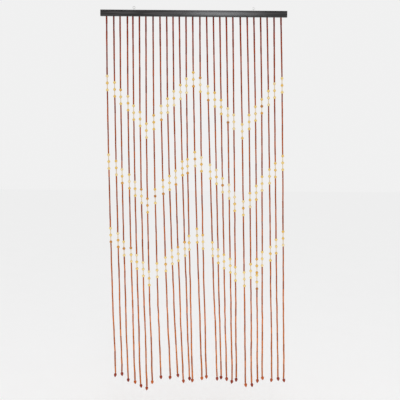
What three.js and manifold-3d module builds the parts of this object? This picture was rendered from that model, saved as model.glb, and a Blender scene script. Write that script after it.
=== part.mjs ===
// Bead string door curtain: a black wooden rail, two screw eyes to hang it by, and 27 strands of
// dyed bamboo tubes with three zigzag bands of pale round beads, each strand ending in a pointed drop.
// Millimetres. +X along the rail, +Y away from the viewer, +Z up.
// The origin is halfway between the centres of the two hanging rings.

import * as THREE from 'three';
import { mergeVertices } from 'three/addons/utils/BufferGeometryUtils.js';
import Module from 'manifold-3d';

const wasm = await Module();
wasm.setup();

// Rail
const RAIL_LENGTH = 900;
const RAIL_DEPTH = 12;
const RAIL_HEIGHT = 30;
const RAIL_EDGE = 1.2;
const CLEARANCE = 0.3;

// Screw eyes
const EYE_SPACING = 576;
const RING_RADIUS = 5.4;
const WIRE_RADIUS = 1.2;
const RING_FACETS = 20;
const WIRE_FACETS = 8;
const NECK_HEIGHT = 4.8;
const SHANK_DEPTH = 14;

// Stringing
const STRANDS_IN_ALL = 27;
const STRAND_PITCH = 32.4;
const STRING_HALF = 1.0;
const STRING_SHOWS = 0.8;
const TUBE_LENGTH = 35.5;
const TUBE_HALF = 3;
const CREAM_TUBE_HALF = 2.3;
const BEAD_RADIUS = 6.5;
const BEAD_WAIST = 2.8;
const BEAD_PITCH = 33.5;
const BEADS_IN_GROUP = 3;
const TOUCHING_PITCH = 13.5;
const GROUP_PITCH = (BEADS_IN_GROUP - 1) * BEAD_PITCH + TOUCHING_PITCH;
const STRAND_WITH_MORE = 22;

// Zigzag: the strand at a crest has the fewest tubes above its first bead, and each strand away from
// the crest has one tube more, until the trough. The lower bands follow at nearly even spacings.
const CREST_STRAND = 13;
const STRANDS_PER_SLOPE = 7;
const TUBES_AT_CREST = 7;
const BAND_SPACINGS = [380, 365];
const TIP_DEPTH = 1790;

// Half-widths of a drop, each at its distance above the drop's point
const DROP_SHAPE = [
  { above: 23, half: 2.2 },
  { above: 14, half: 6.6 },
  { above: 8.2, half: 4.8 },
];

// Strip in the rail's groove that the strings are fastened to
const STRIP_DEPTH = 7.4;
const STRIP_HEIGHT = 3.1;
const STRIP_OVERHANG = 8;

// How uneven the strands are
const BEND_PLACES = [0.28, 0.52, 0.78];
const BEND_SIZE = 1.2;
const OUT_OF_PLANE = 3;
const BEND_CYCLE = 7;
const BEND_STEP = 4;
const OUT_CYCLE = 2.1;

const RAIL_TOP = -(RING_RADIUS + WIRE_RADIUS + NECK_HEIGHT);
const RAIL_BOTTOM = RAIL_TOP - RAIL_HEIGHT;

// What is uneven about each strand, one row for each from the left, to the nearest few millimetres.
// hole: how far its place is off the even spacing.
// run1, run2, run3: how much longer the run of tubes above each band is than the pattern asks.
// end: how much lower the drop ends than most.
// foot: how far the strand has drifted sideways at its end.
// bow: how late it drifts, 1 for a straight line and more for a line that is upright at first.
const UNEVEN = [
  { hole: 1, run1: -5, run2: 0, run3: -5, end: -20, foot: 45, bow: 1.6 },
  { hole: 3, run1: -10, run2: 0, run3: -10, end: -25, foot: 42, bow: 1.4 },
  { hole: 1, run1: -10, run2: 5, run3: -10, end: 5, foot: 43, bow: 1.6 },
  { hole: 4, run1: -15, run2: 0, run3: -5, end: 15, foot: 42, bow: 1.7 },
  { hole: -2, run1: -5, run2: -10, run3: -5, end: 35, foot: 43, bow: 1.6 },
  { hole: -3, run1: -10, run2: -5, run3: -5, end: 45, foot: 44, bow: 1.7 },
  { hole: -4, run1: 10, run2: -15, run3: -5, end: 15, foot: 39, bow: 1.9 },
  { hole: -2, run1: 5, run2: -20, run3: 0, end: -10, foot: 46, bow: 1.7 },
  { hole: -1, run1: -5, run2: -20, run3: 15, end: -10, foot: 60, bow: 1.5 },
  { hole: -1, run1: -5, run2: -5, run3: 0, end: -20, foot: 63, bow: 1.6 },
  { hole: -3, run1: -5, run2: 5, run3: 10, end: 10, foot: 62, bow: 1.5 },
  { hole: -5, run1: 0, run2: -10, run3: 30, end: -5, foot: 62, bow: 1.3 },
  { hole: -5, run1: 5, run2: 10, run3: 10, end: 5, foot: 45, bow: 1.4 },
  { hole: -5, run1: 10, run2: 5, run3: 10, end: -5, foot: 60, bow: 1.4 },
  { hole: -3, run1: 0, run2: 5, run3: 15, end: -15, foot: 47, bow: 1.4 },
  { hole: -3, run1: 5, run2: 0, run3: 15, end: -5, foot: 68, bow: 1.2 },
  { hole: -3, run1: 0, run2: -5, run3: 25, end: -10, foot: 55, bow: 1.1 },
  { hole: -4, run1: 0, run2: 0, run3: 10, end: -5, foot: 50, bow: 1.1 },
  { hole: -5, run1: 5, run2: -10, run3: 0, end: 10, foot: 47, bow: 1.0 },
  { hole: -6, run1: 0, run2: 20, run3: -20, end: 0, foot: 37, bow: 1.0 },
  { hole: -3, run1: 10, run2: -5, run3: -15, end: 25, foot: 47, bow: 0.9 },
  { hole: -2, run1: 0, run2: 0, run3: -15, end: 25, foot: 44, bow: 0.8 },
  { hole: -2, run1: -5, run2: 5, run3: -5, end: 5, foot: 41, bow: 0.8 },
  { hole: -2, run1: -5, run2: -5, run3: 5, end: -10, foot: 31, bow: 0.7 },
  { hole: -3, run1: -10, run2: 0, run3: 15, end: 0, foot: 48, bow: 0.9 },
  { hole: -2, run1: -10, run2: 5, run3: 10, end: -5, foot: 45, bow: 1.1 },
  { hole: -1, run1: 0, run2: -5, run3: 5, end: 0, foot: 40, bow: 0.8 },
];

// How many strands away the nearest crest of the zigzag is
function strandsFromCrest(index) {
  const cycle = 2 * STRANDS_PER_SLOPE;
  const along = (index - CREST_STRAND + cycle) % cycle;
  return Math.min(along, cycle - along);
}

// A strand's own sizes: where its hole is, how far below the rail the first bead of each band and the
// drop's point hang, and how many groups of beads its last band has
function strandOf(uneven, index) {
  const tubes = TUBES_AT_CREST + strandsFromCrest(index);
  const first = STRING_SHOWS + tubes * TUBE_LENGTH + uneven.run1 + BEAD_RADIUS;
  const second = first + BAND_SPACINGS[0] + uneven.run2;
  return {
    ...uneven,
    hole: (index - (STRANDS_IN_ALL - 1) / 2) * STRAND_PITCH + uneven.hole,
    bands: [first, second, second + BAND_SPACINGS[1] + uneven.run3],
    tip: TIP_DEPTH + uneven.end,
    lastGroups: index === STRAND_WITH_MORE ? 2 : 1,
  };
}

const STRANDS = UNEVEN.map(strandOf);

const BLACK_PAINT = new THREE.MeshStandardMaterial({ color: 0x2b2a2a, roughness: 0.45, metalness: 0 });
const DYED_BAMBOO = new THREE.MeshStandardMaterial({ color: 0x8a4a38, roughness: 0.5, metalness: 0 });
const ZINC_STEEL = new THREE.MeshStandardMaterial({ color: 0xb9b9b5, roughness: 0.35, metalness: 1 });

function solidOf(geometry) {
  const bare = geometry.clone();
  bare.deleteAttribute('normal');
  bare.deleteAttribute('uv');
  const merged = mergeVertices(bare, 1e-4);
  const triVerts = new Uint32Array(merged.index.array);
  const vertProperties = new Float32Array(merged.attributes.position.array);
  return new wasm.Manifold(new wasm.Mesh({ numProp: 3, vertProperties, triVerts }));
}

function geometryOf(solid) {
  const { numProp, vertProperties, triVerts } = solid.getMesh();
  const corners = new THREE.InterleavedBuffer(vertProperties, numProp);
  const geometry = new THREE.BufferGeometry();
  geometry.setAttribute('position', new THREE.InterleavedBufferAttribute(corners, 3, 0));
  geometry.setIndex(new THREE.BufferAttribute(triVerts, 1));
  return geometry.toNonIndexed();
}

function meshOf(name, solid, material) {
  const geometry = geometryOf(solid);
  geometry.computeVertexNormals();
  const mesh = new THREE.Mesh(geometry, material);
  mesh.name = name;
  return mesh;
}

function box(width, depth, height, x, y, z) {
  return solidOf(new THREE.BoxGeometry(width, depth, height).translate(x, y, z));
}

// A rod standing on Z, from its lower end up
function rod(radius, facets, bottom, top, x) {
  const geometry = new THREE.CylinderGeometry(radius, radius, top - bottom, facets);
  geometry.rotateX(Math.PI / 2);
  return solidOf(geometry.translate(x, 0, (top + bottom) / 2));
}

// Rail: a slat with eased edges, a blind hole for each screw eye and a groove for the strip.
const stripLeft = STRANDS[0].hole - STRIP_OVERHANG;
const stripRight = STRANDS[STRANDS_IN_ALL - 1].hole + STRIP_OVERHANG;

function rail() {
  const halfDepth = RAIL_DEPTH / 2 - RAIL_EDGE;
  const halfHeight = RAIL_HEIGHT / 2 - RAIL_EDGE;
  const section = new THREE.Shape();
  section.moveTo(-halfHeight, -halfDepth);
  section.lineTo(halfHeight, -halfDepth);
  section.lineTo(halfHeight, halfDepth);
  section.lineTo(-halfHeight, halfDepth);
  section.closePath();
  const length = RAIL_LENGTH - 2 * RAIL_EDGE;
  const slat = new THREE.ExtrudeGeometry(section, {
    depth: length,
    bevelSize: RAIL_EDGE,
    bevelThickness: RAIL_EDGE,
    bevelSegments: 2,
  });
  slat.translate(0, 0, -length / 2);
  slat.rotateY(Math.PI / 2);
  slat.translate(0, 0, (RAIL_TOP + RAIL_BOTTOM) / 2);
  let solid = solidOf(slat);
  for (const x of [-EYE_SPACING / 2, EYE_SPACING / 2]) {
    const radius = WIRE_RADIUS + CLEARANCE;
    solid = solid.subtract(rod(radius, WIRE_FACETS, RAIL_TOP - SHANK_DEPTH - CLEARANCE, RAIL_TOP + 1, x));
  }
  const grooveLength = stripRight - stripLeft + 2 * CLEARANCE;
  const grooveHeight = STRIP_HEIGHT + CLEARANCE;
  return solid.subtract(box(
    grooveLength,
    STRIP_DEPTH + 2 * CLEARANCE,
    2 * grooveHeight,
    (stripLeft + stripRight) / 2,
    0,
    RAIL_BOTTOM,
  ));
}

// Screw eye: a round ring that faces forwards, on a shank that is screwed down into the rail.
function screwEye(x) {
  const ring = new THREE.TorusGeometry(RING_RADIUS, WIRE_RADIUS, WIRE_FACETS, RING_FACETS);
  ring.rotateX(Math.PI / 2);
  ring.translate(x, 0, 0);
  return solidOf(ring).add(rod(WIRE_RADIUS, WIRE_FACETS, RAIL_TOP - SHANK_DEPTH, -RING_RADIUS, x));
}

// Depths of the round beads in a band. Where a band has two groups, the second follows at once.
function beadDepths(row, band) {
  const count = BEADS_IN_GROUP * (band === 2 ? row.lastGroups : 1);
  return Array.from({ length: count }, (_, bead) => {
    const group = Math.floor(bead / BEADS_IN_GROUP);
    return row.bands[band] + group * GROUP_PITCH + (bead % BEADS_IN_GROUP) * BEAD_PITCH;
  });
}

// Depths at which a strand bends slightly, between its last round bead and its tip
function bendDepths(row) {
  const lastBead = beadDepths(row, 2).at(-1);
  return BEND_PLACES.map((share) => THREE.MathUtils.lerp(lastBead, row.tip, share));
}

// Where a strand is, sideways and out of the curtain's plane, at a depth below the rail
function strandPlace(row, index) {
  const drift = (depth) => row.foot * (depth / row.tip) ** row.bow;
  const stations = [0, ...row.bands, row.tip].map((depth) => [depth, drift(depth)]);
  const bends = bendDepths(row).map((depth, k) => {
    const bend = BEND_SIZE * Math.sin(BEND_CYCLE * index + BEND_STEP * k);
    return [depth, drift(depth) + bend];
  });
  stations.splice(-1, 0, ...bends);
  return (depth) => {
    const next = stations.findIndex((station) => station[0] >= depth && station[0] > 0);
    const [toDepth, toSide] = stations[next];
    const [fromDepth, fromSide] = stations[next - 1];
    const side = THREE.MathUtils.mapLinear(depth, fromDepth, toDepth, fromSide, toSide);
    const out = OUT_OF_PLANE * Math.sin(OUT_CYCLE * index) * (depth / row.tip);
    return new THREE.Vector2(row.hole + side, out);
  };
}

// Half-width of a strand down its length, as pairs of depth and half-width
function strandProfile(row) {
  const rings = [
    [-STRIP_HEIGHT / 2, STRING_HALF],
    [STRING_SHOWS, STRING_HALF],
    [STRING_SHOWS, TUBE_HALF],
  ];
  for (const band of row.bands.keys()) {
    const depths = beadDepths(row, band);
    depths.forEach((centre, k) => {
      rings.push([centre - BEAD_RADIUS, k === 0 ? TUBE_HALF : CREAM_TUBE_HALF]);
      rings.push([centre - BEAD_WAIST, BEAD_RADIUS]);
      rings.push([centre + BEAD_WAIST, BEAD_RADIUS]);
      rings.push([centre + BEAD_RADIUS, k === depths.length - 1 ? TUBE_HALF : CREAM_TUBE_HALF]);
    });
  }
  bendDepths(row).forEach((depth) => rings.push([depth, TUBE_HALF]));
  DROP_SHAPE.forEach(({ above, half }) => rings.push([row.tip - above, half]));
  return rings;
}

// One strand: a four-sided turned form, its corners moved to where the strand hangs at each depth
function strand(row, index) {
  const rings = strandProfile(row);
  const outline = rings.map(([depth, half]) => new THREE.Vector2(half * Math.SQRT2, -depth));
  outline.unshift(new THREE.Vector2(0, -rings[0][0]));
  outline.push(new THREE.Vector2(0, -row.tip));
  const geometry = new THREE.LatheGeometry(outline.reverse(), 4, Math.PI / 4);
  geometry.rotateX(Math.PI / 2);
  const place = strandPlace(row, index);
  const corners = geometry.attributes.position;
  for (let k = 0; k < corners.count; k++) {
    const depth = -corners.getZ(k);
    const at = place(Math.min(Math.max(depth, 0), row.tip));
    corners.setXYZ(k, corners.getX(k) + at.x, corners.getY(k) + at.y, RAIL_BOTTOM - depth);
  }
  return solidOf(geometry);
}

function strands() {
  const strip = box(
    stripRight - stripLeft,
    STRIP_DEPTH,
    STRIP_HEIGHT,
    (stripLeft + stripRight) / 2,
    0,
    RAIL_BOTTOM + STRIP_HEIGHT / 2,
  );
  return STRANDS.reduce((joined, row, index) => joined.add(strand(row, index)), strip);
}

const curtain = new THREE.Group();
curtain.add(meshOf('rail', rail(), BLACK_PAINT));
curtain.add(meshOf('screw_eye_left', screwEye(-EYE_SPACING / 2), ZINC_STEEL));
curtain.add(meshOf('screw_eye_right', screwEye(EYE_SPACING / 2), ZINC_STEEL));
curtain.add(meshOf('strands', strands(), DYED_BAMBOO));

export default curtain;
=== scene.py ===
# %% [markdown]
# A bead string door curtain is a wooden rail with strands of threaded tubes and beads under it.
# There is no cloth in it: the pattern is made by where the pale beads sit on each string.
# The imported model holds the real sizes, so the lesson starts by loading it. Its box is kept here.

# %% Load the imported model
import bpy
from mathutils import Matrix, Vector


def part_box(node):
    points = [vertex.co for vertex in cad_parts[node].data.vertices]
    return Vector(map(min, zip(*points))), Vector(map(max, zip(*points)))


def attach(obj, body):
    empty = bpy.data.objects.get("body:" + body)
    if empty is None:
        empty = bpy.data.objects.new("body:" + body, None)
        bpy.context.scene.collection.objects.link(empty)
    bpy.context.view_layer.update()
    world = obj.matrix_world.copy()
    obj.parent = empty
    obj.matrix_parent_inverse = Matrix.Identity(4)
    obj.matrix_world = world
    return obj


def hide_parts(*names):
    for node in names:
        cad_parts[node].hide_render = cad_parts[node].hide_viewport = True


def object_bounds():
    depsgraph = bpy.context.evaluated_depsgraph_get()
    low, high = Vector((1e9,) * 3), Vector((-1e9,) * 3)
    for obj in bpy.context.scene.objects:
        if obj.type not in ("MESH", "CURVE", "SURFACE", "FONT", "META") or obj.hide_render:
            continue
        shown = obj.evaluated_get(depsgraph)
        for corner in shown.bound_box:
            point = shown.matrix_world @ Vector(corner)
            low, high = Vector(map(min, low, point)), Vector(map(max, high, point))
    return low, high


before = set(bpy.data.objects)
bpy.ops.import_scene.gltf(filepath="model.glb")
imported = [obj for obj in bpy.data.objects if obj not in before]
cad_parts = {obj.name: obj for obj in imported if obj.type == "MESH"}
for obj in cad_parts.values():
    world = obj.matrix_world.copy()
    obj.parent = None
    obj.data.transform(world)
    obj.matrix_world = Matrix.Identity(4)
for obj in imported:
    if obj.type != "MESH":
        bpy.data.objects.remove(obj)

CAD_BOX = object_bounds()
print("packed nodes:", sorted(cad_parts))
print("packed box, metres:", [[round(value, 4) for value in corner] for corner in CAD_BOX])

# %% [markdown]
# Blender's own modules come next. bmesh builds small meshes by hand, mathutils has vectors and matrices,
# and a namedtuple gives each column of a chart a name. Blender counts in metres and a bead stringer in
# millimetres, so one constant turns the second into the first.

# %% Libraries
import math
import random
from collections import namedtuple

import bmesh
import bpy
from mathutils import Matrix, Vector

MM = 0.001

# %% [markdown]
# The camera comes first, because everything is judged through it. It stands three metres away, at the
# height of the middle band of beads, and looks a little down. Its turn about the line of sight is small
# but it shows: the rail's right end is lower in the picture than its left end. A camera's matrix is its
# three axes and its place, so the axes are worked out from the two angles and put in as columns.

# %% Camera
CAMERA_PLACE = Vector((0.037, -2.995, -0.766))
LOOKS_DOWN = math.radians(3.05)
TURNED = math.radians(0.45)
FOCAL_PIXELS = 612.5
PICTURE_SIDE = 400
SENSOR = 36.0

ahead = Vector((0, math.cos(LOOKS_DOWN), -math.sin(LOOKS_DOWN)))
level_up = Vector((0, math.sin(LOOKS_DOWN), math.cos(LOOKS_DOWN)))
right = math.cos(TURNED) * Vector((1, 0, 0)) + math.sin(TURNED) * level_up
up = math.cos(TURNED) * level_up - math.sin(TURNED) * Vector((1, 0, 0))

camera_data = bpy.data.cameras.new("camera")
camera_data.sensor_width = SENSOR
camera_data.lens = FOCAL_PIXELS * SENSOR / PICTURE_SIDE
camera = bpy.data.objects.new("camera", camera_data)
bpy.context.scene.collection.objects.link(camera)
camera.matrix_world = Matrix.Translation(CAMERA_PLACE) @ Matrix((right, up, -ahead)).transposed().to_4x4()
bpy.context.scene.camera = camera
print("lens, mm:", round(camera_data.lens, 2))

# %% [markdown]
# Node trees for materials and for geometry are both easier to read as formulas. A wire is one socket
# of a node. When wires are added or multiplied, the matching Math node is made and its output is the
# next wire. The reflected forms let a number stand first, as in 1 - mask.

# %% A wire, which can stand in a sum
class Wire:
    def __init__(self, graph, socket):
        self.graph = graph
        self.socket = socket

    def maths(self, operation, first, second):
        return self.graph.add("ShaderNodeMath", [first, second], operation=operation)[0]

    def __add__(self, other):
        return self.maths("ADD", self, other)

    def __sub__(self, other):
        return self.maths("SUBTRACT", self, other)

    def __rsub__(self, other):
        return self.maths("SUBTRACT", other, self)

    def __mul__(self, other):
        return self.maths("MULTIPLY", self, other)

    def __truediv__(self, other):
        return self.maths("DIVIDE", self, other)

    def __rtruediv__(self, other):
        return self.maths("DIVIDE", other, self)

    def __gt__(self, other):
        return self.maths("GREATER_THAN", self, other)

    def __abs__(self):
        return self.graph.add("ShaderNodeMath", [self], operation="ABSOLUTE")[0]

    __radd__ = __add__
    __rmul__ = __mul__


# %% [markdown]
# Any other node comes from one method. It sets the node's settings first, because they decide which
# sockets exist, and then gives each socket a value or a wire. A socket is named by its label or by its
# number.

# %% A graph, which adds nodes to a tree
class Outlets:
    def __init__(self, graph, node):
        self.graph = graph
        self.node = node

    def __getitem__(self, key):
        return Wire(self.graph, find_socket(self.node.outputs, key))


def find_socket(sockets, key):
    shown = [socket for socket in sockets if socket.enabled]
    if isinstance(key, int):
        return shown[key]
    return next(socket for socket in shown if socket.name == key)


class Graph:
    def __init__(self, tree):
        self.tree = tree

    def add(self, kind, inputs=(), stops=None, **settings):
        node = self.tree.nodes.new(kind)
        for name, value in settings.items():
            setattr(node, name, value)
        if stops:
            self.set_stops(node.color_ramp.elements, stops)
        pairs = inputs.items() if isinstance(inputs, dict) else enumerate(inputs)
        for key, value in pairs:
            self.feed(find_socket(node.inputs, key), value)
        return Outlets(self, node)

    def feed(self, socket, value):
        if isinstance(value, Wire):
            self.tree.links.new(value.socket, socket)
        else:
            socket.default_value = value

    def set_stops(self, elements, stops):
        while len(elements) < len(stops):
            elements.new(1.0)
        for element, (place, colour) in zip(elements, stops):
            element.position = place
            element.color = (*colour, 1.0)

    def vector(self, operation, *inputs):
        return self.add("ShaderNodeVectorMath", inputs, operation=operation)[0]

    def blend(self, share, first, second, how="MIX"):
        sockets = {"Factor": share, "A": first, "B": second}
        return self.add("ShaderNodeMix", sockets, data_type="RGBA", blend_type=how)["Result"]


# %% [markdown]
# A finish is a material on the Principled shader. What is the same all over is set on the shader's own
# sockets. What varies over the surface is worked out by the graph and fed in. Patterns that belong to
# one bead or tube read two attributes that each piece carries: tone, one random number for the piece,
# and grain, the place of a point inside its own piece, so that no two beads cut the same pattern.

# %% Helpers for finishes
def new_finish(name, **constants):
    material = bpy.data.materials.new(name)
    material.use_nodes = True
    graph = Graph(material.node_tree)
    shader = material.node_tree.nodes["Principled BSDF"]
    for socket, value in constants.items():
        shader.inputs[socket.replace("_", " ")].default_value = value
    return material, graph, shader.inputs


def attribute(graph, name, outlet):
    return graph.add("ShaderNodeAttribute", attribute_name=name)[outlet]


def own_grain(graph, stretch, shift=7.0):
    """The place inside a piece, stretched, and moved on by the piece's tone so that each piece differs."""
    grain = graph.vector("MULTIPLY", attribute(graph, "grain", "Vector"), stretch)
    moved = graph.add("ShaderNodeCombineXYZ", [attribute(graph, "tone", "Fac") * shift] * 3)[0]
    return graph.vector("ADD", grain, moved)


def along_piece(graph):
    """How far a point is above the middle of its own piece."""
    return graph.add("ShaderNodeSeparateXYZ", [attribute(graph, "grain", "Vector")])["Z"]


def noise(graph, place, scale, detail=3.0, roughness=0.55):
    sockets = {"Vector": place, "Scale": scale, "Detail": detail, "Roughness": roughness}
    return graph.add("ShaderNodeTexNoise", sockets)["Fac"]


def between(graph, value, low, high):
    """A value stretched, so that low becomes 0 and high becomes 1, and cut off at both."""
    return graph.add("ShaderNodeMapRange", {"Value": value, "From Min": low, "From Max": high})["Result"]


def bumped(graph, height, distance, strength=1.0):
    sockets = {"Height": height, "Distance": distance, "Strength": strength}
    return graph.add("ShaderNodeBump", sockets)["Normal"]


# %% [markdown]
# Dyed bamboo. The tubes are thin culms cut to length and dyed in a bath, so each takes the colour a
# little differently: most are red-brown, some orange-brown, a few nearly maroon. A ramp down the
# curtain's height paints light and shade into the colour: painted shade makes the tubes near the rail
# darker and duller, and painted light makes the red brighter and more orange low down. Fibres run along
# the tube, so the noise is stretched along Z, and broader patches took more dye or less. The cut ends,
# where the saw broke the skin, are darker.

# %% Dyed bamboo finish
TUBE_LENGTH = 35.5
TUBE_RADIUS = 3.42
TUBE_CUT_END = 0.8
strands_low, strands_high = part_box("strands")


def dyed_bamboo():
    material, graph, shader = new_finish("dyed_bamboo", Specular_IOR_Level=0.04)
    tone = attribute(graph, "tone", "Fac")
    dye = graph.add("ShaderNodeValToRGB", [tone], stops=[
        (0.0, (0.68, 0.56, 0.8)),
        (0.30, (0.88, 0.84, 0.9)),
        (0.70, (1.02, 1.02, 1.0)),
        (0.92, (1.16, 1.20, 1.8)),
        (1.0, (1.30, 1.50, 2.8)),
    ])["Color"]
    # Painted light and shade: this ramp by height darkens the tubes near the rail and makes them brighter
    # and more orange low down.
    height = graph.add("ShaderNodeSeparateXYZ", [graph.add("ShaderNodeTexCoord")["Object"]])["Z"]
    share_down = (strands_high.z - height) / (strands_high.z - strands_low.z)
    red_and_painted_light = graph.add("ShaderNodeValToRGB", [share_down], stops=[
        (0.0, (0.130, 0.012, 0.003)),
        (0.02, (0.240, 0.024, 0.005)),
        (0.10, (0.320, 0.050, 0.007)),
        (0.35, (0.410, 0.088, 0.009)),
        (0.60, (0.435, 0.106, 0.012)),
        (0.80, (0.570, 0.152, 0.018)),
        (0.92, (0.560, 0.168, 0.026)),
        (1.0, (0.480, 0.124, 0.020)),
    ])["Color"]
    # Each tube's dye is multiplied by the painted light and shade of the height ramp.
    dyed_and_painted_light = graph.blend(1.0, red_and_painted_light, dye, how="MULTIPLY")
    fibres = noise(graph, own_grain(graph, (1, 1, 0.04)), 1900.0)
    patches = noise(graph, own_grain(graph, (1, 1, 0.9)), 120.0, detail=2.0)
    lines = between(graph, fibres, 0.38, 0.66)
    streaked = graph.blend(lines * 0.3 + (patches - 0.4) * 0.6, dyed_and_painted_light, (0.140, 0.018, 0.006, 1))
    faded = graph.blend(between(graph, patches, 0.55, 0.80) * 0.5, streaked, (0.62, 0.20, 0.09, 1))
    sawn = abs(along_piece(graph)) > (TUBE_LENGTH / 2 - TUBE_CUT_END) * MM
    graph.feed(shader["Base Color"], graph.blend(sawn * 0.6, faded, (0.085, 0.024, 0.014, 1)))
    graph.feed(shader["Roughness"], fibres * 0.2 + 0.5)
    graph.feed(shader["Normal"], bumped(graph, fibres, 0.12 * MM))
    return material


DYED_BAMBOO = dyed_bamboo()

# %% [markdown]
# Cream bamboo. The short thin tubes between the round beads are bleached and left dull, so that the
# bands read as pale from far off. Only faint fibres and a darker cut end show.

# %% Cream bamboo finish
CREAM_LENGTH = 20.1
CREAM_RADIUS = 2.5
CREAM_CUT_END = 0.6


def cream_bamboo():
    material, graph, shader = new_finish("cream_bamboo")
    fibres = noise(graph, own_grain(graph, (1, 1, 0.05)), 2100.0)
    tone = attribute(graph, "tone", "Fac")
    pale = graph.blend(tone, (0.78, 0.66, 0.49, 1), (0.70, 0.54, 0.36, 1))
    streaked = graph.blend(fibres * 0.30, pale, (0.62, 0.42, 0.24, 1))
    sawn = abs(along_piece(graph)) > (CREAM_LENGTH / 2 - CREAM_CUT_END) * MM
    graph.feed(shader["Base Color"], graph.blend(sawn * 0.4, streaked, (0.45, 0.28, 0.14, 1)))
    graph.feed(shader["Roughness"], fibres * 0.2 + 0.5)
    graph.feed(shader["Normal"], bumped(graph, fibres, 0.08 * MM))
    return material


CREAM_BAMBOO = cream_bamboo()

# %% [markdown]
# Honey wood. The round beads are turned from pale wood and varnished. A turned bead shows the growth
# rings as nested ovals, which a Wave texture in rings gives when its place is bent a little by noise.
# The varnish is a clear coat. A few beads are deep orange, and the rest pale yellow to golden.

# %% Honey wood finish
BEAD_RADIUS = 7.2
BEAD_HALF = 6.7
BEAD_BORED_EDGE = 0.55


def honey_wood():
    material, graph, shader = new_finish(
        "honey_wood", Coat_Weight=0.35, Coat_Roughness=0.12, Specular_IOR_Level=0.3,
    )
    tone = attribute(graph, "tone", "Fac")
    wood = graph.add("ShaderNodeValToRGB", [tone], stops=[
        (0.0, (0.86, 0.71, 0.39)),
        (0.45, (0.84, 0.62, 0.19)),
        (0.86, (0.78, 0.49, 0.092)),
        (0.95, (0.66, 0.29, 0.028)),
        (1.0, (0.42, 0.14, 0.014)),
    ])["Color"]
    place = own_grain(graph, (1, 0.35, 1), shift=0.03)
    rings = graph.add("ShaderNodeTexWave", {
        "Vector": place,
        "Scale": 150.0,
        "Distortion": 2.5,
        "Detail": 2.0,
        "Detail Scale": 1.5,
    }, wave_type="RINGS", rings_direction="Y")["Fac"]
    pores = noise(graph, own_grain(graph, (1, 0.2, 1)), 1500.0)
    ringed = graph.blend(rings * 0.25, wood, (0.42, 0.19, 0.03, 1))
    flecked = graph.blend((pores > 0.60) * 0.25, ringed, (0.30, 0.13, 0.04, 1))
    bored = abs(along_piece(graph)) > (BEAD_HALF - BEAD_BORED_EDGE) * MM
    graph.feed(shader["Base Color"], graph.blend(bored * 0.55, flecked, (0.20, 0.09, 0.03, 1)))
    graph.feed(shader["Roughness"], pores * 0.2 + 0.28)
    graph.feed(shader["Normal"], bumped(graph, rings * 0.4 + pores, 0.05 * MM))
    return material


HONEY_WOOD = honey_wood()

# %% [markdown]
# Red lacquer. The drops are dipped, so their coat is thick and glossy, and thinner at the point and the
# collar, where the wood shines through more orange. A few were dipped once only and are orange all over.

# %% Red lacquer finish
DROP_THIN_FROM = 8.8


def red_lacquer():
    material, graph, shader = new_finish(
        "red_lacquer", Coat_Weight=0.2, Coat_Roughness=0.1, Specular_IOR_Level=0.1,
    )
    tone = attribute(graph, "tone", "Fac")
    dip = graph.add("ShaderNodeValToRGB", [tone], stops=[
        (0.0, (0.20, 0.016, 0.006)),
        (0.60, (0.32, 0.042, 0.009)),
        (1.0, (0.58, 0.130, 0.014)),
    ])["Color"]
    runs = noise(graph, own_grain(graph, (1, 1, 0.3)), 260.0)
    thin = abs(along_piece(graph)) > DROP_THIN_FROM * MM
    worn = graph.blend(thin * 0.35, dip, (0.55, 0.15, 0.04, 1))
    graph.feed(shader["Base Color"], graph.blend(runs * 0.4, worn, (0.16, 0.014, 0.008, 1)))
    graph.feed(shader["Roughness"], runs * 0.2 + 0.22)
    graph.feed(shader["Normal"], bumped(graph, runs, 0.15 * MM))
    return material


RED_LACQUER = red_lacquer()

# %% [markdown]
# String. Only specks of it show, between the tubes. A Wave texture in bands that run slantwise makes
# the twist of a two-ply cord.

# %% String finish
def twisted_string():
    material, graph, shader = new_finish("string", Roughness=0.85)
    place = graph.add("ShaderNodeTexCoord")["Object"]
    plies = graph.add("ShaderNodeTexWave", {
        "Vector": place,
        "Scale": 420.0,
        "Distortion": 0.6,
    }, wave_type="BANDS", bands_direction="DIAGONAL")["Fac"]
    graph.feed(shader["Base Color"], graph.blend(plies, (0.46, 0.38, 0.28, 1), (0.74, 0.67, 0.55, 1)))
    graph.feed(shader["Normal"], bumped(graph, plies, 0.15 * MM))
    return material


STRING = twisted_string()

# %% [markdown]
# Black paint. The rail is a planed slat, painted by brush in one thin coat of satin black. The grain
# telegraphs through the paint as long shallow lines, which is what breaks up the broad shine on its
# face. Where the brush ran dry it left long grey streaks, and in a few specks along the edges the paint
# is rubbed through.

# %% Black paint finish
rail_low, rail_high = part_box("rail")
RAIL_MIDDLE = (rail_low + rail_high) / 2


def black_paint():
    material, graph, shader = new_finish("black_paint", Specular_IOR_Level=0.4)
    place = graph.add("ShaderNodeTexCoord")["Object"]
    long_place = graph.vector("MULTIPLY", place, (0.035, 1, 1))
    grain = noise(graph, long_place, 700.0, detail=5.0, roughness=0.65)
    broad = noise(graph, graph.vector("MULTIPLY", place, (0.2, 1, 1)), 60.0)
    centred = graph.vector("SUBTRACT", place, tuple(RAIL_MIDDLE))
    parts = graph.add("ShaderNodeSeparateXYZ", [centred])
    half_depth, half_height = (rail_high.y - rail_low.y) / 2, (rail_high.z - rail_low.z) / 2
    near_edge = abs(parts["Y"]) / half_depth + abs(parts["Z"]) / half_height
    rubbed = (near_edge + broad * 0.12 > 2.0) * (grain > 0.56)
    black = graph.blend(grain, (0.001, 0.001, 0.001, 1), (0.014, 0.013, 0.013, 1))
    strokes = noise(graph, graph.vector("MULTIPLY", place, (0.07, 1, 1)), 130.0, detail=2.0)
    dry = between(graph, strokes, 0.46, 0.72)
    streaked = graph.blend(dry, black, (0.048, 0.045, 0.046, 1))
    graph.feed(shader["Base Color"], graph.blend(rubbed * 0.5, streaked, (0.11, 0.075, 0.055, 1)))
    graph.feed(shader["Roughness"], grain * 0.14 + strokes * 0.16 + 0.09)
    graph.feed(shader["Normal"], bumped(graph, grain, 0.12 * MM))
    return material


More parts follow.
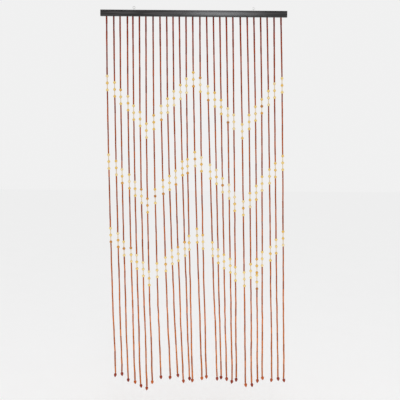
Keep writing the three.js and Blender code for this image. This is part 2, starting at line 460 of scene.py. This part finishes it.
BLACK_PAINT = black_paint()
print("rail, mm:", [round(side / MM, 1) for side in rail_high - rail_low])

# %% [markdown]
# Zinc plate. Screw eyes are bent from wire and plated. The plating is bright but a little cloudy, so
# the roughness varies more than the colour does.

# %% Zinc plate finish
def zinc_plate():
    material, graph, shader = new_finish("zinc_plate", Metallic=1.0)
    place = graph.add("ShaderNodeTexCoord")["Object"]
    cloud = noise(graph, place, 900.0)
    graph.feed(shader["Base Color"], graph.blend(cloud, (0.66, 0.66, 0.64, 1), (0.46, 0.46, 0.45, 1)))
    graph.feed(shader["Roughness"], cloud * 0.3 + 0.2)
    graph.feed(shader["Normal"], bumped(graph, cloud, 0.03 * MM))
    return material


ZINC_PLATE = zinc_plate()

# %% [markdown]
# The pattern is counted in tubes. The strand at a crest of the zigzag has the fewest tubes above its
# first round bead. Each strand away from the crest has one more, until the trough, seven strands on.
# The two lower bands follow at nearly even spacings, so all three zigzags are alike.

# %% The pattern
STRAND_COUNT = 27
STRAND_PITCH = 32.4
STRING_SHOWS = 0.8
BEAD_CENTRE_BELOW_TUBES = 6.5
BEAD_PITCH = 33.5
BEADS_IN_GROUP = 3
TOUCHING_PITCH = 13.5
GROUP_PITCH = (BEADS_IN_GROUP - 1) * BEAD_PITCH + TOUCHING_PITCH
STRAND_WITH_MORE = 22
CREST_STRAND = 13
STRANDS_PER_SLOPE = 7
TUBES_AT_CREST = 7
BAND_SPACINGS = (380, 365)
TIP_DEPTH = 1790


def strands_from_crest(index):
    cycle = 2 * STRANDS_PER_SLOPE
    along = (index - CREST_STRAND) % cycle
    return min(along, cycle - along)


TUBES_ABOVE = [TUBES_AT_CREST + strands_from_crest(index) for index in range(STRAND_COUNT)]
print("tubes above the first bead:", TUBES_ABOVE)

# %% [markdown]
# Nothing strung by hand is quite even. Each row says what is uneven about one strand, from the left, in
# millimetres, as in the solid model. hole is how far its place is off the even spacing. run1, run2 and
# run3 are how much longer the run of tubes above each band is than the pattern asks, and end is how
# much lower the drop ends than most. foot is how far the strand has drifted sideways at its end. bow is
# how late it drifts: 1 gives a straight line, a larger number a line that is upright at first, and a
# smaller one a line that leans most at the top.

# %% What is uneven about each strand
Uneven = namedtuple("Uneven", "hole run1 run2 run3 end foot bow")
UNEVEN = (
    Uneven(1, -5, 0, -5, -20, 45, 1.6),
    Uneven(3, -10, 0, -10, -25, 42, 1.4),
    Uneven(1, -10, 5, -10, 5, 43, 1.6),
    Uneven(4, -15, 0, -5, 15, 42, 1.7),
    Uneven(-2, -5, -10, -5, 35, 43, 1.6),
    Uneven(-3, -10, -5, -5, 45, 44, 1.7),
    Uneven(-4, 10, -15, -5, 15, 39, 1.9),
    Uneven(-2, 5, -20, 0, -10, 46, 1.7),
    Uneven(-1, -5, -20, 15, -10, 60, 1.5),
    Uneven(-1, -5, -5, 0, -20, 63, 1.6),
    Uneven(-3, -5, 5, 10, 10, 62, 1.5),
    Uneven(-5, 0, -10, 30, -5, 62, 1.3),
    Uneven(-5, 5, 10, 10, 5, 45, 1.4),
    Uneven(-5, 10, 5, 10, -5, 60, 1.4),
    Uneven(-3, 0, 5, 15, -15, 47, 1.4),
    Uneven(-3, 5, 0, 15, -5, 68, 1.2),
    Uneven(-3, 0, -5, 25, -10, 55, 1.1),
    Uneven(-4, 0, 0, 10, -5, 50, 1.1),
    Uneven(-5, 5, -10, 0, 10, 47, 1.0),
    Uneven(-6, 0, 20, -20, 0, 37, 1.0),
    Uneven(-3, 10, -5, -15, 25, 47, 0.9),
    Uneven(-2, 0, 0, -15, 25, 44, 0.8),
    Uneven(-2, -5, 5, -5, 5, 41, 0.8),
    Uneven(-2, -5, -5, 5, -10, 31, 0.7),
    Uneven(-3, -10, 0, 15, 0, 48, 0.9),
    Uneven(-2, -10, 5, 10, -5, 45, 1.1),
    Uneven(-1, 0, -5, 5, 0, 40, 0.8),
)
Strand = namedtuple("Strand", "hole bands tip last_groups foot bow")


def strand_of(index, uneven):
    """A strand's own sizes: its hole, the depths of its bands and tip, and its last band's groups."""
    first = STRING_SHOWS + TUBES_ABOVE[index] * TUBE_LENGTH + uneven.run1 + BEAD_CENTRE_BELOW_TUBES
    second = first + BAND_SPACINGS[0] + uneven.run2
    third = second + BAND_SPACINGS[1] + uneven.run3
    hole = (index - (STRAND_COUNT - 1) / 2) * STRAND_PITCH + uneven.hole
    last_groups = 2 if index == STRAND_WITH_MORE else 1
    return Strand(hole, (first, second, third), TIP_DEPTH + uneven.end, last_groups, uneven.foot, uneven.bow)


def bead_depths(strand, band):
    """Where a band's beads are. Where a band has two groups, the second follows at once."""
    groups = strand.last_groups if band == 2 else 1
    return [
        strand.bands[band] + group * GROUP_PITCH + bead * BEAD_PITCH
        for group in range(groups)
        for bead in range(BEADS_IN_GROUP)
    ]


STRANDS = [strand_of(index, uneven) for index, uneven in enumerate(UNEVEN)]
print("first strand:", STRANDS[0])

# %% [markdown]
# A strand hangs in a nearly smooth line, with slight bends in its last run. Every string is stiff where a
# tube is and free where two tubes meet, so the line is only ever bent at the joints. A small random
# push at each joint, larger towards the free end, gives the look of strings that were folded in a box.
# A drop hangs loosely by its collar, so its point swings further. The random numbers have one seed, so
# the curtain comes out alike each time.

# %% Where a strand hangs
BEND_PLACES = (0.28, 0.52, 0.78)
BEND_SIZE = 1.2
BEND_CYCLE = 7
BEND_STEP = 4
OUT_OF_PLANE = 3
OUT_CYCLE = 2.1
PUSH_AT_TOP = 0.2
PUSH_AT_FOOT = 0.8
DROP_SWING = 4.0


def stations_of(index):
    """Depths below the rail where the strand's line turns, each with its sideways drift."""
    strand = STRANDS[index]

    def drift(depth):
        return strand.foot * (depth / strand.tip) ** strand.bow

    last_bead = bead_depths(strand, 2)[-1]
    stations = [(depth, drift(depth)) for depth in (0, *strand.bands)]
    for step, share in enumerate(BEND_PLACES):
        depth = last_bead + share * (strand.tip - last_bead)
        stations.append((depth, drift(depth) + BEND_SIZE * math.sin(BEND_CYCLE * index + BEND_STEP * step)))
    return stations + [(strand.tip, strand.foot)]


def place_of(index, depth):
    """The point of a strand's line at a depth below the rail, in mm."""
    strand = STRANDS[index]
    stations = stations_of(index)
    for (above, side_above), (below, side_below) in zip(stations, stations[1:]):
        if depth <= below:
            share = (depth - above) / (below - above)
            side = side_above + share * (side_below - side_above)
            break
    out = OUT_OF_PLANE * math.sin(OUT_CYCLE * index) * depth / strand.tip
    return Vector((strand.hole + side, out, rail_low.z / MM - depth))


print("first strand's foot, mm:", [round(value) for value in place_of(0, STRANDS[0].tip)])

# %% [markdown]
# Threading. The stringer works down each string: a run of tubes, a group of round beads with cream
# tubes between them, and so on, and the drop last. A run holds as many tubes as fit, and since they are
# cut by hand, each is a little longer or shorter than the next. The stringer slipped twice: one
# string's second group starts with a cream tube too many, and another's last group was threaded twice.

# %% Thread every string
DROP_LENGTH = 23
CUT_ERROR = 0.045
CREAM_TOO_MANY = (19, 1)
SEED = 27

dice = random.Random(SEED)


def run_of_tubes(start, end):
    count = max(1, round((end - start) / TUBE_LENGTH))
    cuts = [1 + dice.uniform(-CUT_ERROR, CUT_ERROR) for _ in range(count)]
    depth = start
    pieces = []
    for cut in cuts:
        following = depth + (end - start) * cut / sum(cuts)
        pieces.append(("tube", depth, following))
        depth = following
    return pieces


def threaded(index, strand):
    """What is on one string, from the top: kind, first depth and last depth."""
    pieces = []
    depth = STRING_SHOWS
    for band, first in enumerate(strand.bands):
        group_start = first - BEAD_HALF
        run_end = group_start - CREAM_LENGTH if (index, band) == CREAM_TOO_MANY else group_start
        pieces += run_of_tubes(depth, run_end)
        if run_end < group_start:
            pieces.append(("cream", run_end, group_start))
        centres = bead_depths(strand, band)
        for centre, following in zip(centres, centres[1:] + [None]):
            pieces.append(("bead", centre - BEAD_HALF, centre + BEAD_HALF))
            if following and following - centre > TOUCHING_PITCH:
                pieces.append(("cream", centre + BEAD_HALF, following - BEAD_HALF))
        depth = centres[-1] + BEAD_HALF
    pieces += run_of_tubes(depth, strand.tip - DROP_LENGTH)
    return pieces + [("drop", strand.tip - DROP_LENGTH, strand.tip)]


threads = [threaded(index, strand) for index, strand in enumerate(STRANDS)]
for kind in ("tube", "cream", "bead", "drop"):
    print(kind, sum(piece[0] == kind for thread in threads for piece in thread))

# %% [markdown]
# Each piece becomes one edge of a mesh, from its lower end to its upper end. That is all Geometry Nodes
# need: an edge's middle says where the piece goes, its direction how it hangs, its length how long it is.

# %% Lines that the pieces sit on
def joints_of(index, thread):
    """The points where a thread can bend, pushed aside a little."""
    strand = STRANDS[index]
    depths = [thread[0][1]] + [piece[2] for piece in thread]
    points = []
    for number, depth in enumerate(depths):
        reach = PUSH_AT_TOP + (PUSH_AT_FOOT - PUSH_AT_TOP) * depth / strand.tip
        if number == len(depths) - 1:
            reach = DROP_SWING
        elif number == 0 or thread[number - 1][0] != "tube":
            reach = PUSH_AT_TOP
        push = Vector((dice.uniform(-reach, reach), dice.uniform(-reach, reach), 0))
        points.append((place_of(index, depth) + push) * MM)
    return points


def line_mesh(name, lines):
    mesh = bpy.data.meshes.new(name)
    points = [point for line in lines for point in line]
    edges = []
    start = 0
    for line in lines:
        edges += [(start + step, start + step + 1) for step in range(len(line) - 1)]
        start += len(line)
    mesh.from_pydata(points, edges, [])
    return mesh


joints = [joints_of(index, thread) for index, thread in enumerate(threads)]
edges_of = {"tube": [], "cream": [], "bead": [], "drop": []}
for thread, points in zip(threads, joints):
    for number, (kind, _, _) in enumerate(thread):
        edges_of[kind].append((points[number + 1], points[number]))
print("joints:", sum(len(points) for points in joints))

# %% [markdown]
# The shape of one tube, bead or drop is turned, like the real one: a profile is spun about the Z axis.
# A hollow piece has a closed profile that goes up the outside and down the bore. A shape that is used a
# thousand times is kept to a few dozen faces. Each point keeps its own place as the grain attribute.

# %% Turned shapes
SHARP_FROM = math.radians(50)


def turned(name, profile, sides, hollow):
    """A mesh turned about Z from points of radius and height in mm."""
    form = bmesh.new()
    rings = []
    for radius, height in profile:
        if radius == 0:
            rings.append([form.verts.new((0, 0, height * MM))])
            continue
        angles = [2 * math.pi * side / sides for side in range(sides)]
        rings.append([
            form.verts.new((radius * MM * math.cos(angle), radius * MM * math.sin(angle), height * MM))
            for angle in angles
        ])
    pairs = list(zip(rings, rings[1:])) + ([(rings[-1], rings[0])] if hollow else [])
    for lower, upper in pairs:
        for side in range(sides):
            after = (side + 1) % sides
            corners = [lower[side % len(lower)], lower[after % len(lower)]]
            corners += [upper[after % len(upper)], upper[side % len(upper)]]
            form.faces.new(list(dict.fromkeys(corners)))
    bmesh.ops.recalc_face_normals(form, faces=form.faces)
    mesh = bpy.data.meshes.new(name)
    form.to_mesh(mesh)
    form.free()
    mesh.shade_smooth()
    mesh.set_sharp_from_angle(angle=SHARP_FROM)
    grain = mesh.attributes.new("grain", "FLOAT_VECTOR", "POINT")
    grain.data.foreach_set("vector", [value for point in mesh.vertices for value in point.co])
    shape = bpy.data.objects.new(name, mesh)
    bpy.context.scene.collection.objects.link(shape)
    print(name, len(mesh.polygons), "faces")
    return shape


# %% [markdown]
# A tube is sawn square and loses its sharp rim when it is tumbled. A bead is a ball with its two poles
# bored away. A drop is solid: a small collar, a round shoulder and a long taper to the point.

# %% The four shapes
BORE = 1.25
TUBE_RIM = 0.35
CREAM_RIM = 0.3
BALL_LATITUDES = (-72, -48, -24, 0, 24, 48, 72)
POLE_SUNK = 0.3


def tube_profile(length, radius, rim):
    half = length / 2
    return [
        (BORE, -half),
        (radius - rim, -half),
        (radius, -half + rim),
        (radius, half - rim),
        (radius - rim, half),
        (BORE, half),
    ]


def ball_profile(radius, half):
    angles = [math.radians(angle) for angle in BALL_LATITUDES]
    outside = [(radius * math.cos(angle), half * math.sin(angle) / math.sin(angles[-1])) for angle in angles]
    return [(BORE, -half + POLE_SUNK)] + outside + [(BORE, half - POLE_SUNK)]


TUBE_PROFILE = tube_profile(TUBE_LENGTH, TUBE_RADIUS, TUBE_RIM)
CREAM_PROFILE = tube_profile(CREAM_LENGTH, CREAM_RADIUS, CREAM_RIM)
BEAD_PROFILE = ball_profile(BEAD_RADIUS, BEAD_HALF)
DROP_PROFILE = [
    (0, -11.5),
    (0.6, -11.1),
    (2.0, -9.4),
    (4.1, -6.5),
    (6.1, -2.8),
    (7.2, 0.2),
    (7.4, 2.4),
    (6.8, 5.1),
    (4.9, 8.0),
    (2.8, 9.9),
    (2.3, 11.1),
    (1.6, 11.5),
    (0, 11.3),
]

shapes = {
    "tube": turned("one_tube", TUBE_PROFILE, sides=10, hollow=True),
    "cream": turned("one_cream_tube", CREAM_PROFILE, sides=10, hollow=True),
    "bead": turned("one_bead", BEAD_PROFILE, sides=12, hollow=True),
    "drop": turned("one_drop", DROP_PROFILE, sides=16, hollow=False),
}
made_length = {"tube": TUBE_LENGTH, "cream": CREAM_LENGTH, "bead": 2 * BEAD_HALF, "drop": DROP_LENGTH}

# %% [markdown]
# Geometry Nodes make what repeats. A tree declares its inputs on its interface, so that a modifier can
# set them, and ends by giving its geometry a material. Every tree here begins and ends alike, so two
# helpers do that. A third gives each piece a random number that is a little more or less than one.

# %% Helpers for trees
def new_tree(name, inputs):
    tree = bpy.data.node_groups.new(name, "GeometryNodeTree")
    tree.is_modifier = True
    tree.interface.new_socket(name="Geometry", in_out="INPUT", socket_type="NodeSocketGeometry")
    for label, kind in inputs.items():
        tree.interface.new_socket(name=label, in_out="INPUT", socket_type="NodeSocket" + kind)
    tree.interface.new_socket(name="Geometry", in_out="OUTPUT", socket_type="NodeSocketGeometry")
    graph = Graph(tree)
    return tree, graph, graph.add("NodeGroupInput")


def end_tree(graph, geometry, material):
    painted = graph.add("GeometryNodeSetMaterial", {"Geometry": geometry, "Material": material})
    graph.add("NodeGroupOutput", [painted["Geometry"]])


def spread_about_one(graph, spread, seed):
    sockets = {"Min": 1 - spread, "Max": 1 + spread, "Seed": seed}
    return graph.add("FunctionNodeRandomValue", sockets, data_type="FLOAT")["Value"]


# %% [markdown]
# One tree threads all four kinds. It reads each edge's direction before the edges become points, then
# puts the shape on every point, turns it into line, rolls it by a random angle so that the grain faces
# another way, and stretches it to the edge's length. Girths differ a little by chance, and the tubes
# are thickest at both ends of the strands, where the stringer put the stoutest culms. The tone is
# stored on each instance before the instances are made real, which is how every vertex of a bead comes
# to know its bead's own number.

# %% A tree that threads pieces
def threading_tree():
    tree, graph, given = new_tree("Threaded pieces", {
        "Shape": "Object",
        "Made Length": "Float",
        "Joint Gap": "Float",
        "Girth Spread": "Float",
        "Thicker Ends": "Float",
        "Middle Height": "Float",
        "Half Height": "Float",
        "Seed": "Int",
        "Material": "Material",
    })
    ends = graph.add("GeometryNodeInputMeshEdgeVertices")
    direction = graph.vector("SUBTRACT", ends["Position 2"], ends["Position 1"])
    marked = graph.add("GeometryNodeStoreNamedAttribute", {
        "Geometry": given["Geometry"],
        "Name": "direction",
        "Value": direction,
    }, data_type="FLOAT_VECTOR", domain="EDGE")["Geometry"]
    spots = graph.add("GeometryNodeMeshToPoints", {"Mesh": marked}, mode="EDGES")["Points"]
    stored = graph.add("GeometryNodeInputNamedAttribute", {"Name": "direction"}, data_type="FLOAT_VECTOR")
    edge_line = {"Vector": stored["Attribute"]}
    hangs = graph.add("FunctionNodeAlignRotationToVector", edge_line, axis="Z")["Rotation"]
    any_angle = {"Max": 2 * math.pi, "Seed": given["Seed"]}
    angle = graph.add("FunctionNodeRandomValue", any_angle, data_type="FLOAT")
    roll = graph.add("ShaderNodeCombineXYZ", {"Z": angle["Value"]})["Vector"]
    turn = graph.add("FunctionNodeEulerToRotation", [roll])["Rotation"]
    rotation = graph.add("FunctionNodeRotateRotation", [hangs, turn], rotation_space="LOCAL")["Rotation"]
    length = graph.add("ShaderNodeVectorMath", [stored["Attribute"]], operation="LENGTH")["Value"]
    stretch = (length - given["Joint Gap"]) / given["Made Length"]
    height = graph.add("ShaderNodeSeparateXYZ", [graph.add("GeometryNodeInputPosition")["Position"]])["Z"]
    off_middle = (height - given["Middle Height"]) / given["Half Height"]
    squared = off_middle * off_middle
    thicker = 1 + squared * squared * given["Thicker Ends"]
    girth = spread_about_one(graph, given["Girth Spread"], given["Seed"] + 1) * thicker
    scale = graph.add("ShaderNodeCombineXYZ", [girth, girth, stretch])["Vector"]
    shape = graph.add("GeometryNodeObjectInfo", {"Object": given["Shape"]})["Geometry"]
    placed = graph.add("GeometryNodeInstanceOnPoints", {
        "Points": spots,
        "Instance": shape,
        "Rotation": rotation,
        "Scale": scale,
    })["Instances"]
    tone = graph.add("FunctionNodeRandomValue", {"Seed": given["Seed"] + 2}, data_type="FLOAT")["Value"]
    toned = graph.add("GeometryNodeStoreNamedAttribute", {
        "Geometry": placed,
        "Name": "tone",
        "Value": tone,
    }, data_type="FLOAT", domain="INSTANCE")["Geometry"]
    real = graph.add("GeometryNodeRealizeInstances", {"Geometry": toned})["Geometry"]
    clean = graph.add("GeometryNodeRemoveAttribute", {"Geometry": real, "Name": "direction"})["Geometry"]
    end_tree(graph, clean, given["Material"])
    return tree


THREADING = threading_tree()
print("nodes in the tree:", len(THREADING.nodes))

# %% [markdown]
# A modifier's inputs are set by each socket's identifier, because labels may repeat. The evaluated
# object is then copied to a plain mesh, so that no modifier is left for anyone else to run.

# %% Run a tree and keep its mesh
def run_tree(name, mesh, tree, values):
    piece = bpy.data.objects.new(name, mesh)
    bpy.context.scene.collection.objects.link(piece)
    modifier = piece.modifiers.new("make", "NODES")
    modifier.node_group = tree
    for item in tree.interface.items_tree:
        if item.item_type == "SOCKET" and item.in_out == "INPUT" and item.name in values:
            modifier[item.identifier] = values[item.name]
    seen = bpy.context.evaluated_depsgraph_get()
    made = bpy.data.meshes.new_from_object(
        piece.evaluated_get(seen), preserve_all_data_layers=True, depsgraph=seen,
    )
    piece.modifiers.clear()
    piece.data = made
    made.name = name
    return piece


def keep(piece, node):
    """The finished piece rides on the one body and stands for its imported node."""
    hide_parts(node)
    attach(piece, "root")
    triangles = sum(len(face.vertices) - 2 for face in piece.data.polygons)
    print(piece.name, triangles, "triangles")


# %% [markdown]
# Each kind of piece now gets its own run of the tree. The chart says which shape it threads, how much
# room it leaves at a joint, how much its girth varies by chance, how much thicker it gets at the ends of
# the strands, and which seed, finish and slot it has. The four shapes were only patterns to copy, so
# they are removed once the threaded meshes exist.

# %% Thread tubes, beads and drops
TUBE_GAP = 0.5
BEAD_GAP = 0.2

Kind = namedtuple("Kind", "piece shape gap girth thicker_ends seed material slot")
KINDS = (
    Kind("bamboo_tubes", "tube", TUBE_GAP, 0.07, 0.18, 11, DYED_BAMBOO, "dyed_bamboo"),
    Kind("cream_tubes", "cream", TUBE_GAP, 0.06, 0.0, 12, CREAM_BAMBOO, "cream_bamboo"),
    Kind("round_beads", "bead", BEAD_GAP, 0.05, 0.0, 13, HONEY_WOOD, "honey_wood"),
    Kind("drops", "drop", BEAD_GAP, 0.05, 0.0, 14, RED_LACQUER, "red_lacquer"),
)
for kind in KINDS:
    piece = run_tree(kind.piece, line_mesh(kind.piece, edges_of[kind.shape]), THREADING, {
        "Shape": shapes[kind.shape],
        "Made Length": made_length[kind.shape] * MM,
        "Joint Gap": kind.gap * MM,
        "Girth Spread": kind.girth,
        "Thicker Ends": kind.thicker_ends,
        "Middle Height": (strands_high.z + strands_low.z) / 2,
        "Half Height": (strands_high.z - strands_low.z) / 2,
        "Seed": kind.seed,
        "Material": kind.material,
    })
    keep(piece, "strands")
for shape in shapes.values():
    bpy.data.objects.remove(shape)

# %% [markdown]
# Strings and bent wire are the same thing to Geometry Nodes: a round section swept along a line. The
# tree takes the line as mesh edges, makes a curve of it and closes both ends.

# %% A tree that sweeps a round section
def sweeping_tree():
    tree, graph, given = new_tree("Round section along a line", {
        "Radius": "Float",
        "Sides": "Int",
        "Material": "Material",
    })
    line = graph.add("GeometryNodeMeshToCurve", {"Mesh": given["Geometry"]})["Curve"]
    circle = {"Resolution": given["Sides"], "Radius": given["Radius"]}
    section = graph.add("GeometryNodeCurvePrimitiveCircle", circle, mode="RADIUS")["Curve"]
    swept = graph.add("GeometryNodeCurveToMesh", {
        "Curve": line,
        "Profile Curve": section,
        "Fill Caps": True,
    })["Mesh"]
    smooth = graph.add("GeometryNodeSetShadeSmooth", {0: swept})[0]
    end_tree(graph, smooth, given["Material"])
    return tree


SWEEPING = sweeping_tree()

# %% [markdown]
# A string runs through every bore, from the batten's hole to just inside the drop. It bends at the same
# joints as the pieces do, so it never leaves its bore, and six sides are enough for so thin a thread.

# %% Strings
STRING_RADIUS = 0.75
STRING_INTO_BATTEN = 2.2
SHARE_INTO_DROP = 0.2

string_lines = []
for points in joints:
    start = points[0] + Vector((0, 0, (STRING_SHOWS + STRING_INTO_BATTEN) * MM))
    end = points[-2] + (points[-1] - points[-2]) * SHARE_INTO_DROP
    string_lines.append([start, *points[:-1], end])
strings = run_tree("strings", line_mesh("strings", string_lines), SWEEPING, {
    "Radius": STRING_RADIUS * MM,
    "Sides": 6,
    "Material": STRING,
})
keep(strings, "strands")

# %% [markdown]
# The strings are fastened to a batten that is pressed into a groove under the rail, with one hole for
# each string. Perforations are a repeat, so Geometry Nodes make them: a drill for each hole, all cut out
# of the batten in one Boolean.

# %% A tree that drills a batten
STRIP_DEPTH = 7.4
STRIP_HEIGHT = 3.1
STRIP_OVERHANG = 8
STRING_HOLE = 1.3


def drilling_tree():
    tree, graph, given = new_tree("Drilled batten", {
        "Size": "Vector",
        "Centre": "Vector",
        "Hole Radius": "Float",
        "Material": "Material",
    })
    block = graph.add("GeometryNodeMeshCube", {"Size": given["Size"]})["Mesh"]
    batten = graph.add("GeometryNodeTransform", {
        "Geometry": block,
        "Translation": given["Centre"],
    })["Geometry"]
    height = graph.add("ShaderNodeSeparateXYZ", [given["Size"]])["Z"]
    drill = graph.add("GeometryNodeMeshCylinder", {
        "Vertices": 12,
        "Radius": given["Hole Radius"],
        "Depth": height * 3,
    })["Mesh"]
    spots = graph.add("GeometryNodeMeshToPoints", {"Mesh": given["Geometry"]})["Points"]
    drills = graph.add("GeometryNodeInstanceOnPoints", {"Points": spots, "Instance": drill})["Instances"]
    real = graph.add("GeometryNodeRealizeInstances", {"Geometry": drills})["Geometry"]
    bored = graph.add("GeometryNodeMeshBoolean", {"Mesh 1": batten, "Mesh 2": real}, operation="DIFFERENCE")
    end_tree(graph, bored["Mesh"], given["Material"])
    return tree


DRILLING = drilling_tree()

# %% [markdown]
# The batten reaches a little past the outermost strings. Its underside is level with the rail's, so only
# the strings show below it, and each hole is centred on its own strand.

# %% Batten
strip_left = STRANDS[0].hole - STRIP_OVERHANG
strip_right = STRANDS[-1].hole + STRIP_OVERHANG
strip_centre = Vector(((strip_left + strip_right) / 2, 0, rail_low.z / MM + STRIP_HEIGHT / 2)) * MM
holes = [[Vector((strand.hole * MM, 0, strip_centre.z))] for strand in STRANDS]
batten = run_tree("string_batten", line_mesh("string_batten", holes), DRILLING, {
    "Size": Vector((strip_right - strip_left, STRIP_DEPTH, STRIP_HEIGHT)) * MM,
    "Centre": strip_centre,
    "Hole Radius": STRING_HOLE * MM,
    "Material": BLACK_PAINT,
})
keep(batten, "strands")

# %% [markdown]
# Screw eyes are one piece of wire each: a straight shank that is screwed into the rail, and a loop bent
# round a peg until its end nearly meets the shank. The loop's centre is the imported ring's centre.

# %% Screw eyes
WIRE_RADIUS = 1.2
LOOP_TURN = math.radians(338)
LOOP_STEPS = 40


def eye_line(node):
    low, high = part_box(node)
    wire = WIRE_RADIUS * MM
    radius = (high.x - low.x) / 2 - wire
    middle = Vector(((low.x + high.x) / 2, (low.y + high.y) / 2, high.z - wire - radius))
    line = [Vector((middle.x, middle.y, low.z)), Vector((middle.x, middle.y, middle.z - radius - 2 * wire))]
    for step in range(LOOP_STEPS + 1):
        angle = -math.pi / 2 + LOOP_TURN * step / LOOP_STEPS
        line.append(middle + radius * Vector((math.cos(angle), 0, math.sin(angle))))
    return line


for node in ("screw_eye_left", "screw_eye_right"):
    eye = run_tree(node + "_wire", line_mesh(node, [eye_line(node)]), SWEEPING, {
        "Radius": WIRE_RADIUS * MM,
        "Sides": 12,
        "Material": ZINC_PLATE,
    })
    keep(eye, node)

# %% [markdown]
# The rail is a slat with eased edges. Its edges are bevelled first, and the groove and the two pilot
# holes are cut afterwards, because a bevel after the cuts would round the groove's lips too.

# %% Rail
EASED = 1.4
RAIL_SHARP_FROM = math.radians(35)
GROOVE_ROOM = 0.3
PILOT_RADIUS = 1.5
PILOT_DEPTH = 14.3


def cutter(name, make):
    form = bmesh.new()
    make(form)
    mesh = bpy.data.meshes.new(name)
    form.to_mesh(mesh)
    form.free()
    tool = bpy.data.objects.new(name, mesh)
    bpy.context.scene.collection.objects.link(tool)
    return tool


def block(form, size, centre):
    bmesh.ops.create_cube(form, size=1.0, matrix=Matrix.Translation(centre) @ Matrix.Diagonal((*size, 1)))


def groove(form):
    room = 2 * GROOVE_ROOM
    size = Vector((strip_right - strip_left + room, STRIP_DEPTH + room, 2 * STRIP_HEIGHT + room)) * MM
    block(form, size, Vector((strip_centre.x, 0, rail_low.z)))


def pilot_holes(form):
    for node in ("screw_eye_left", "screw_eye_right"):
        low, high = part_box(node)
        top = Vector(((low.x + high.x) / 2, (low.y + high.y) / 2, rail_high.z))
        radius = PILOT_RADIUS * MM
        bmesh.ops.create_cone(
            form, cap_ends=True, segments=24, radius1=radius, radius2=radius,
            depth=2 * PILOT_DEPTH * MM, matrix=Matrix.Translation(top),
        )


def slat():
    form = bmesh.new()
    block(form, rail_high - rail_low, RAIL_MIDDLE)
    bmesh.ops.bevel(
        form, geom=form.edges[:], offset=EASED * MM, segments=4, profile=0.5, affect="EDGES",
    )
    mesh = bpy.data.meshes.new("rail_slat")
    form.to_mesh(mesh)
    form.free()
    piece = bpy.data.objects.new("rail_slat", mesh)
    bpy.context.scene.collection.objects.link(piece)
    tools = [cutter("groove_tool", groove), cutter("pilot_tool", pilot_holes)]
    for tool in tools:
        cut = piece.modifiers.new(tool.name, "BOOLEAN")
        cut.operation = "DIFFERENCE"
        cut.solver = "EXACT"
        cut.object = tool
    seen = bpy.context.evaluated_depsgraph_get()
    made = bpy.data.meshes.new_from_object(piece.evaluated_get(seen), depsgraph=seen)
    piece.modifiers.clear()
    piece.data = made
    for tool in tools:
        bpy.data.objects.remove(tool)
    made.shade_smooth()
    made.set_sharp_from_angle(angle=RAIL_SHARP_FROM)
    made.materials.clear()
    made.materials.append(BLACK_PAINT)
    return piece


keep(slat(), "rail")

# %% [markdown]
# The stage is a wide pale floor under a pale sky of even light, so the curtain is lit softly from all
# round and can be seen from any side.

# %% Floor and sky
FLOOR_BELOW = 0.15
FLOOR_SIDE = 60.0
SKY = 0.875


def pale_floor():
    material, graph, shader = new_finish("pale_floor", Roughness=0.95, Specular_IOR_Level=0.0)
    place = graph.add("ShaderNodeTexCoord")["Object"]
    mottled = noise(graph, place, 3.0)
    graph.feed(shader["Base Color"], graph.blend(mottled, (0.985, 0.985, 0.985, 1), (0.97, 0.97, 0.97, 1)))
    return material


floor_mesh = bpy.data.meshes.new("floor")
floor_height = CAD_BOX[0].z - FLOOR_BELOW
corner_signs = ((-1, -1), (1, -1), (1, 1), (-1, 1))
floor_corners = [(x * FLOOR_SIDE / 2, y * FLOOR_SIDE / 2, floor_height) for x, y in corner_signs]
floor_mesh.from_pydata(floor_corners, [], [(0, 1, 2, 3)])
floor_mesh.materials.append(pale_floor())
floor = bpy.data.objects.new("floor", floor_mesh)
bpy.context.scene.collection.objects.link(floor)

world = bpy.data.worlds.new("sky")
world.use_nodes = True
world.node_tree.nodes["Background"].inputs["Color"].default_value = (1.0, 1.0, 1.0, 1.0)
world.node_tree.nodes["Background"].inputs["Strength"].default_value = SKY
bpy.context.scene.world = world
bpy.context.scene.view_settings.view_transform = "Standard"

# %% [markdown]
# One large soft light in front and above gives the rail its broad shine, and a second one, low in front,
# makes the feet of the strands a little brighter than their tops. An area light shines along its own
# minus Z axis, so each one is turned until that axis points at the curtain.

# %% Soft lights
def soft_light(name, place, aim, size, power, spread, colour):
    data = bpy.data.lights.new(name, "AREA")
    data.shape = "RECTANGLE"
    data.size, data.size_y = size
    data.energy = power
    data.spread = math.radians(spread)
    data.color = colour
    light = bpy.data.objects.new(name, data)
    light.visible_camera = False
    light.location = place
    light.rotation_euler = (Vector(aim) - Vector(place)).to_track_quat("-Z", "Y").to_euler()
    bpy.context.scene.collection.objects.link(light)


soft_light(
    "front_light", place=(0.35, -3.0, 0.70), aim=(0.09, 0, -0.03), size=(0.80, 0.75),
    power=18.5, spread=180, colour=(0.94, 0.97, 1.0),
)
soft_light(
    "low_light", place=(0.0, -1.1, -2.0), aim=(0, 0, -1.4), size=(1.5, 0.6),
    power=3, spread=110, colour=(1.0, 0.90, 0.82),
)
